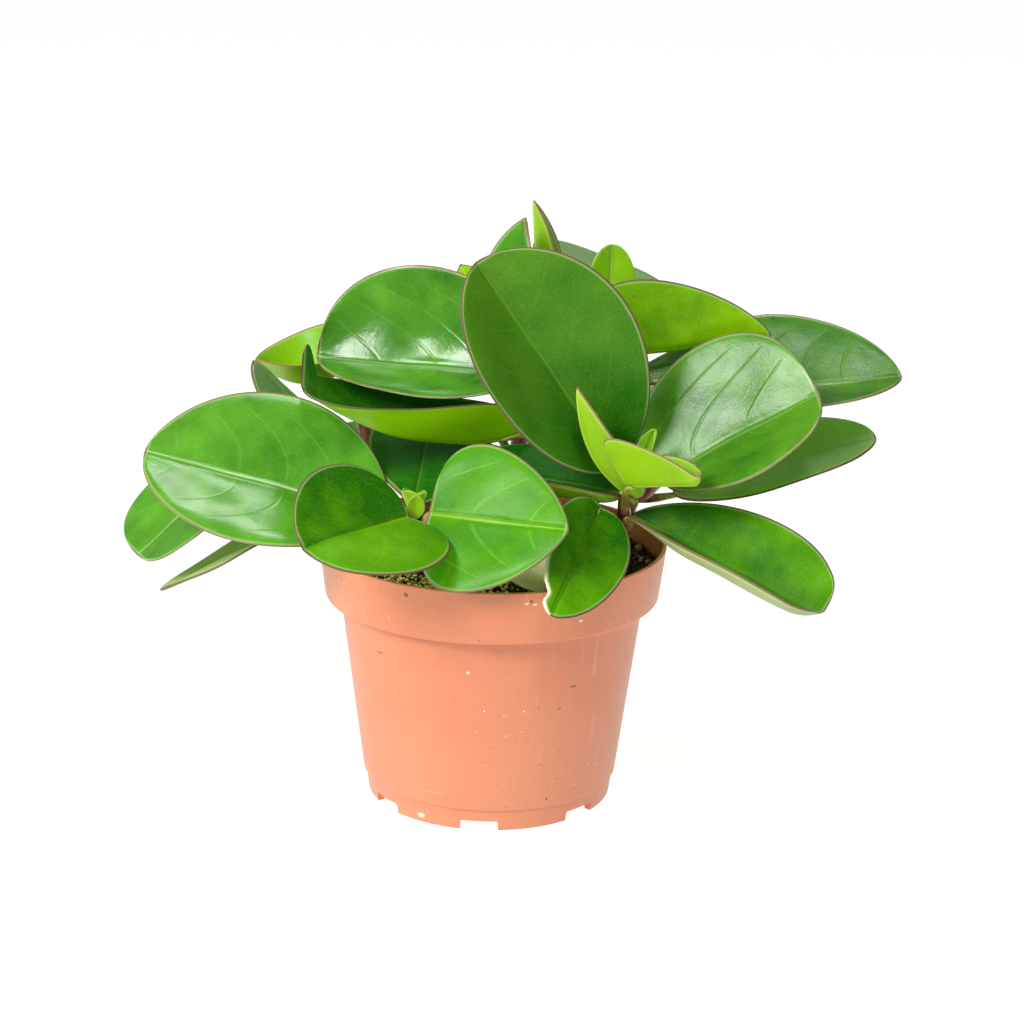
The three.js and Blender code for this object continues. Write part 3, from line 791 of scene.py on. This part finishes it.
def pot_material():
    """Orange plastic, rubbed and dusty here and there, with single marks."""
    m = Shader("pot_plastic", roughness=0.42, coat=0.08, coat_roughness=0.25)
    colour = m.mix(m.ramp(m.noise(14, 3), 0.3, 0.7), (215, 129, 90), (223, 141, 102))
    colour = m.mix(m.ramp(m.noise(800), 0.5, 0.75, 0, 0.22), colour, (190, 104, 76))
    scratch = m.noise(420, 3, m.stretched((1, 1, 0.05)))
    rubbed = m.ramp(m.noise(26, 2, m.stretched((1, 1, 0.4))), 0.52, 0.68)
    lines = m.times(m.ramp(scratch, 0.6, 0.74), rubbed)
    colour = m.mix(m.times(lines, 0.3), colour, (240, 196, 170))
    dusty = m.ramp(m.noise(34), 0.52, 0.62)
    colour = m.mix(m.dots(260, 0.05, 0.1, 0.8, dusty), colour, (250, 238, 230))
    dirty = m.ramp(m.noise(22), 0.46, 0.6)
    colour = m.mix(m.dots(190, 0.04, 0.09, 0.6, dirty), colour, (120, 74, 50))
    ragged = m.times(m.noise(1400, 3), 1.4)
    for angle, height, wide, high, paint in POT_MARKS:
        turn = math.radians(angle)
        radius = inner_radius(height) + WALL
        inputs = {
            "Vector": m.place,
            "Location": Vector((radius * math.cos(turn), radius * math.sin(turn), height)) * MM,
            "Rotation": (0, 0, turn),
            "Scale": Vector((4, wide, high)) * MM,
        }
        mark = m.node("ShaderNodeMapping", inputs, vector_type="TEXTURE")
        far = m.node("ShaderNodeVectorMath", {0: mark.outputs[0]}, operation="LENGTH")
        there = m.ramp(m.plus(far.outputs["Value"], ragged), 1.2, 1.5, 0.85, 0)
        colour = m.mix(there, colour, paint)
    rough = m.plus(m.times(m.noise(60, 3), 0.2), 0.32)
    relief = m.plus(m.noise(1500), m.times(lines, 0.6))
    return m.finish(colour, rough, m.bump(relief, 0.12, 0.2 * MM))


def soil_material():
    """Earth, dry bits or moss, as the kind of each vertex says: 0, 1 or 2."""
    m = Shader("soil_peat", roughness=0.95, specular=0.2)
    kind = m.attribute("kind")
    lighter = m.ramp(m.noise(900, 3), 0.3, 0.7)
    earth = m.mix(lighter, (30, 22, 15), (74, 54, 34))
    dry = m.mix(lighter, (104, 80, 50), (176, 146, 98))
    # the moss is partly its own yellow-brown and partly painted light, lighter so that it looks lit where
    # the leaves above shade it
    moss = m.mix(lighter, (206, 182, 84), (255, 242, 160))
    colour = m.mix(m.ramp(kind, 0.2, 0.6), earth, dry)
    colour = m.mix(m.ramp(kind, 1.2, 1.6), colour, moss)
    return m.finish(colour, normal=m.bump(m.noise(1600, 4), 0.5, 0.4 * MM))


# Pieces
def rounded(profile, radii, steps=5):
    """The profile with each corner that has a radius turned into an arc."""
    points = [np.array(p, float) for p in profile]
    result = []
    for i, p in enumerate(points):
        radius = radii.get(i, 0)
        if not radius:
            result.append(p)
            continue
        before = p + unit(points[i - 1] - p) * radius
        after = p + unit(points[i + 1] - p) * radius
        for k in range(steps + 1):
            w = k / steps
            result.append((1 - w) ** 2 * before + 2 * w * (1 - w) * p + w * w * after)
    return result


def lathe_mesh(profile, sides):
    """A closed turned mesh; the profile starts and ends on the axis."""
    verts = [(0, 0, profile[0][1])]
    rings = []
    for r, z in profile[1:-1]:
        rings.append(len(verts))
        for j in range(sides):
            a = 2 * math.pi * j / sides
            verts.append((r * math.cos(a), r * math.sin(a), z))
    last = len(verts)
    verts.append((0, 0, profile[-1][1]))
    faces = []
    for j in range(sides):
        k = (j + 1) % sides
        faces.append((0, rings[0] + k, rings[0] + j))
        faces.append((last, rings[-1] + j, rings[-1] + k))
        for low, high in zip(rings, rings[1:]):
            faces.append((low + j, low + k, high + k, high + j))
    return verts, faces


def inner_radius(z):
    """The radius of the pot's inside at a height."""
    bottom = POT_HEIGHT - BAND_HEIGHT
    if z > bottom:
        return BAND_BOTTOM_RADIUS + (RIM_RADIUS - BAND_BOTTOM_RADIUS) * (z - bottom) / BAND_HEIGHT - WALL
    up = (z - FOOT_LINE_HEIGHT) / (bottom - FOOT_LINE_HEIGHT)
    return FOOT_LINE_RADIUS + (SHOULDER_RADIUS - FOOT_LINE_RADIUS) * up - WALL


def make_cutter(name, front, behind, turn):
    """A closed prism between two outlines, turned about the pot's axis."""
    n = len(front)
    points = [tuple(turn @ Vector(p)) for p in front + behind]
    faces = [(k, (k + 1) % n, n + (k + 1) % n, n + k) for k in range(n)]
    faces += [tuple(reversed(range(n))), tuple(range(n, 2 * n))]
    return make_object(name, points, faces, [])


def make_pot():
    bottom = POT_HEIGHT - BAND_HEIGHT
    floor_top = FLOOR_CLEARANCE + FLOOR_THICKNESS
    profile = [
        (0, 0), (PAD_RADIUS, 0), (PAD_RADIUS + 1.5, FLOOR_CLEARANCE), (FOOT_RADIUS - 3, FLOOR_CLEARANCE),
        (FOOT_RADIUS - 2.5, 0), (FOOT_RADIUS, 0), (FOOT_RADIUS + 0.9, FOOT_LINE_HEIGHT - 0.6),
        (FOOT_LINE_RADIUS, FOOT_LINE_HEIGHT), (SHOULDER_RADIUS, bottom - 1), (BAND_BOTTOM_RADIUS, bottom),
        (RIM_RADIUS, POT_HEIGHT), (RIM_RADIUS - WALL, POT_HEIGHT),
        (inner_radius(bottom + 1), bottom + 1), (inner_radius(bottom), bottom - 1),
        (inner_radius(floor_top), floor_top), (0, floor_top),
    ]
    radii = {1: 0.4, 2: 0.5, 3: 0.4, 4: 0.3, 5: 0.4, 6: 0.3, 7: 0.4, 8: 0.8, 9: 0.7, 10: 0.5, 11: 0.4,
             12: 0.4, 13: 0.5, 14: 0.8}
    smooth = rounded(profile, radii)
    # extra rings on the long walls keep their shading even
    dense = [smooth[0]]
    for a, b in zip(smooth, smooth[1:]):
        steps = max(1, int(abs(b[1] - a[1]) / 6))
        dense += [a + (b - a) * k / steps for k in range(1, steps + 1)]
    verts, faces = lathe_mesh(dense, POT_SIDES)
    pot = make_object("fine_pot", verts, faces, [pot_material()])
    half = NOTCH_WIDTH / 2
    outline = [(-half, -2), (half, -2), (half, NOTCH_HEIGHT), (-half, NOTCH_HEIGHT), (-half, -2)]
    notch = rounded(outline, {2: NOTCH_CORNER, 3: NOTCH_CORNER})[:-1]
    angles = [2 * math.pi * k / DRAIN_SIDES for k in range(DRAIN_SIDES)]
    drain = [(DRAIN_CIRCLE + DRAIN_RADIUS * math.cos(a), DRAIN_RADIUS * math.sin(a)) for a in angles]
    cutters = []
    for i in range(NOTCH_COUNT):
        turn = Matrix.Rotation(math.radians(NOTCH_ANGLE + 360 / NOTCH_COUNT * i), 4, "Z")
        front = [(FOOT_RADIUS - 5, y, z) for y, z in notch]
        behind = [(FOOT_RADIUS + 5, y, z) for y, z in notch]
        cutters.append(make_cutter(f"cutter_notch_{i}", front, behind, turn))
        low = [(x, y, FLOOR_CLEARANCE - 1) for x, y in drain]
        high = [(x, y, FLOOR_CLEARANCE + 3) for x, y in drain]
        cutters.append(make_cutter(f"cutter_drain_{i}", low, high, turn))
    for cutter in cutters:
        cut = pot.modifiers.new("cut", "BOOLEAN")
        cut.operation = "DIFFERENCE"
        cut.solver = "EXACT"
        cut.object = cutter
    apply_modifiers(pot)
    for cutter in cutters:
        bpy.data.objects.remove(cutter)
    sharpen(pot, SHARP_DEGREES)
    install(pot, "pot", "pot")


def apply_modifiers(obj):
    graph = bpy.context.evaluated_depsgraph_get()
    mesh = bpy.data.meshes.new_from_object(obj.evaluated_get(graph))
    obj.modifiers.clear()
    obj.data = mesh


def sharpen(obj, degrees):
    """Marks the edges that turn more than this as sharp, so that the rest shades smoothly."""
    work = bmesh.new()
    work.from_mesh(obj.data)
    for edge in work.edges:
        edge.smooth = edge.calc_face_angle(0) < math.radians(degrees)
    for face in work.faces:
        face.smooth = True
    work.to_mesh(obj.data)
    work.free()


def make_soil(material):
    """The filled pot: a lumpy top over a plain root ball."""
    circle = [2 * math.pi * j / SOIL_SIDES for j in range(SOIL_SIDES)]
    edge = inner_radius(SOIL_TOP) - 0.3
    verts = [(0, 0, ROOT_BALL_BOTTOM)]
    # the ball follows the pot's wall to its shoulder and steps out under the band
    walls = [(inner_radius(ROOT_BALL_BOTTOM), ROOT_BALL_BOTTOM), (inner_radius(71), 71.2),
             (inner_radius(73), 73.5)]
    for radius, z in walls:
        r = radius - 0.4
        verts += [(r * math.cos(a), r * math.sin(a), z) for a in circle]
    for i in range(SOIL_RINGS):
        r = edge * (1 - i / SOIL_RINGS)
        for a in circle:
            x = r * math.cos(a)
            y = r * math.sin(a)
            lump = noise.fractal(Vector((x, y, 3)) * 0.16, 1.0, 2.0, 5)
            z = SOIL_TOP + SOIL_DOME * (1 - (r / edge) ** 2) + LUMP_HEIGHT * lump
            verts.append((x, y, z))
    verts.append((0, 0, SOIL_TOP + SOIL_DOME))
    faces = []
    total = SOIL_RINGS + len(walls)
    for j in range(SOIL_SIDES):
        k = (j + 1) % SOIL_SIDES
        faces.append((0, 1 + k, 1 + j))
        for i in range(total - 1):
            a = 1 + i * SOIL_SIDES
            b = a + SOIL_SIDES
            faces.append((a + j, a + k, b + k, b + j))
        a = 1 + (total - 1) * SOIL_SIDES
        faces.append((a + j, a + k, len(verts) - 1))
    verts = np.array(verts)
    flat = verts[:, :2] - np.array(MOSS_MIDDLE)
    far = np.hypot(flat[:, 0], flat[:, 1] / MOSS_FLATNESS) / MOSS_SPREAD
    kinds = 2 * np.clip(2 - far, 0, 1) * (verts[:, 2] > SOIL_TOP - 2)
    soil = make_object("fine_soil", verts, faces, [material], attributes={"kind": kinds})
    install(soil, "soil", "soil")


def make_grains(material):
    """Crumbs of peat, bits of bark and a patch of moss, each one a small rough lump."""
    rng = np.random.default_rng(7)
    phi = (1 + 5 ** 0.5) / 2
    corners = [(a, b, 0) for b in (phi, -phi) for a in (-1, 1)]
    lump = np.array([np.roll(corner, turn) for turn in range(3) for corner in corners])
    lump = lump / np.linalg.norm(lump[0])
    lump_faces = np.array([
        (0, 11, 5), (0, 5, 1), (0, 1, 7), (0, 7, 10), (0, 10, 11), (1, 5, 9), (5, 11, 4), (11, 10, 2),
        (10, 7, 6), (7, 1, 8), (3, 9, 4), (3, 4, 2), (3, 2, 6), (3, 6, 8), (3, 8, 9), (4, 9, 5),
        (2, 4, 11), (6, 2, 10), (8, 6, 7), (9, 8, 1)])
    verts = []
    faces = []
    kinds = []
    edge = inner_radius(SOIL_TOP) - 2.2
    for i in range(PEAT_CRUMBS + MOSS_CRUMBS):
        moss = i >= PEAT_CRUMBS
        if moss:
            x = rng.normal(MOSS_MIDDLE[0], MOSS_SPREAD)
            y = rng.normal(MOSS_MIDDLE[1], MOSS_SPREAD * MOSS_FLATNESS)
            size = rng.uniform(0.3, 0.75)
        else:
            a = rng.uniform(0, 2 * math.pi)
            r = edge * math.sqrt(rng.uniform(0, 1))
            x = r * math.cos(a)
            y = r * math.sin(a)
            size = rng.uniform(0.35, 1.0) ** 2 * 1.5
        far = math.hypot(x, y)
        if far > edge:
            x = x * edge / far
            y = y * edge / far
            far = edge
        z = SOIL_TOP + SOIL_DOME * (1 - (far / edge) ** 2) + rng.uniform(0.2, 3.2 if moss else 1.2)
        rough = lump * rng.uniform(0.7, 1.3, (12, 1))
        shape = rough * size * rng.uniform((0.7, 0.7, 0.45), (1.5, 1.5, 0.9))
        turn = np.array(Matrix.Rotation(rng.uniform(0, math.pi), 3, Vector(rng.normal(0, 1, 3))))
        faces.append(lump_faces + 12 * len(verts))
        verts.append(shape @ turn.T + np.array([x, y, z]))
        if moss:
            kind = 2.0 if rng.uniform() < 0.8 else 1.0
        else:
            kind = 1.0 if rng.uniform() < 0.16 else rng.uniform(0, 0.3)
        kinds.append(np.full(12, kind))
    grains = make_object("soil_grains", np.vstack(verts), np.vstack(faces), [material],
                         attributes={"kind": np.concatenate(kinds)}, smooth=False)
    install(grains, "soil")


def make_stem(name, radius, axis, leaf_heights, material):
    """A stem with a swollen ring where each stalk leaves it, and a rounded shoot tip."""
    line, length = spline(axis, STEM_STEPS)
    share = np.linspace(0, 1, STEM_STEPS + 1)
    radii = radius * (1.04 - 0.14 * share)
    for height in leaf_heights:
        radii += STEM_RING * np.exp(-(np.abs(line[:, 2] - height) / 1.6) ** 2)
    radii += 0.12 * np.sin(share * 47)
    left = (1 - share) * length
    radii *= np.sqrt(np.clip(1 - (1 - np.clip(left / 3, 0, 1)) ** 2, 0.02, 1))
    verts, faces, _ = tube_mesh(line, radii, STEM_SIDES)
    install(make_object("fine_" + name, verts, faces, [material]), "stem", name)


# Camera, light and floor
def make_camera():
    """The photo's view, from 0.88 m away and a little above."""
    pitch, roll, yaw = (math.radians(v) for v in (CAMERA_PITCH, CAMERA_ROLL, CAMERA_YAW))
    forward = Vector((math.sin(yaw) * math.cos(pitch), math.cos(yaw) * math.cos(pitch), -math.sin(pitch)))
    right = forward.cross(Vector((0, 0, 1))).normalized()
    up = right.cross(forward)
    tilted_right = right * math.cos(roll) + up * math.sin(roll)
    tilted_up = up * math.cos(roll) - right * math.sin(roll)
    data = bpy.data.cameras.new("camera")
    data.sensor_width = SENSOR_WIDTH
    data.lens = FOCAL_LENGTH
    camera = bpy.data.objects.new("camera", data)
    turn = Matrix((tilted_right, tilted_up, -forward)).transposed().to_4x4()
    camera.matrix_world = Matrix.Translation(CAMERA_PLACE) @ turn
    bpy.context.scene.collection.objects.link(camera)
    bpy.context.scene.camera = camera


def make_light(name, place, target, size, power):
    data = bpy.data.lights.new(name, "AREA")
    data.shape = "RECTANGLE"
    data.size, data.size_y = size
    data.energy = power
    light = bpy.data.objects.new(name, data)
    light.location = place
    light.rotation_euler = (Vector(target) - Vector(place)).to_track_quat("-Z", "Y").to_euler()
    bpy.context.scene.collection.objects.link(light)


def make_world():
    """A dim room that is brighter overhead."""
    world = bpy.data.worlds.new("studio")
    bpy.context.scene.world = world
    world.use_nodes = True
    nodes = world.node_tree.nodes
    links = world.node_tree.links
    where = nodes.new("ShaderNodeTexCoord")
    split = nodes.new("ShaderNodeSeparateXYZ")
    links.new(where.outputs["Generated"], split.inputs[0])
    height = nodes.new("ShaderNodeMapRange")
    for socket, value in zip(height.inputs[1:5], (0.1, 0.9, *ROOM_GLOW)):
        socket.default_value = value
    links.new(split.outputs["Z"], height.inputs["Value"])
    background = nodes["Background"]
    background.inputs["Color"].default_value = (1, 1, 1, 1)
    links.new(height.outputs[0], background.inputs["Strength"])


def make_studio():
    """Soft boxes at the upper left and overhead, a dim room, and a bright white floor."""
    for name, light in LIGHTS.items():
        make_light(name, *light)
    make_world()
    m = Shader("floor_white", roughness=0.9, specular=0.0)
    m.bsdf.inputs["Base Color"].default_value = (FLOOR_GREY, FLOOR_GREY, FLOOR_GREY, 1)
    m.bsdf.inputs["Emission Color"].default_value = (1, 1, 1, 1)
    m.bsdf.inputs["Emission Strength"].default_value = FLOOR_GLOW
    size = FLOOR_HALF
    corners = [(-size, -size, 0), (size, -size, 0), (size, size, 0), (-size, size, 0)]
    make_object("floor", corners, [(0, 1, 2, 3)], [m.material])
    view = bpy.context.scene.view_settings
    view.view_transform = "Standard"
    view.look = "None"


make_camera()
make_studio()
make_pot()
peat = soil_material()
make_soil(peat)
make_grains(peat)
skin = stem_material()
for stem, (radius, axis) in STEMS.items():
    heights = [leaf["height"] for leaf in LEAVES.values() if leaf["stem"] == stem]
    make_stem("stem_" + stem, radius, axis, heights, skin)
greens = {}
for tone, look in TONES.items():
    greens[tone] = leaf_material("leaf_" + tone.replace("under", "underside"), **look)
greens["stalk"] = stalk_material()
for seed, (name, leaf) in enumerate(LEAVES.items(), 1):
    piece = make_leaf(name, leaf, greens, seed)
    install(piece, "young_leaf" if leaf["tone"] == "young" else "leaf", name)
for seed, (name, bud) in enumerate(BUDS.items(), BUD_SEED):
    bud = dict(bud, tone="young", bare=True)
    install(make_leaf(name, bud, greens, seed), "young_leaf")
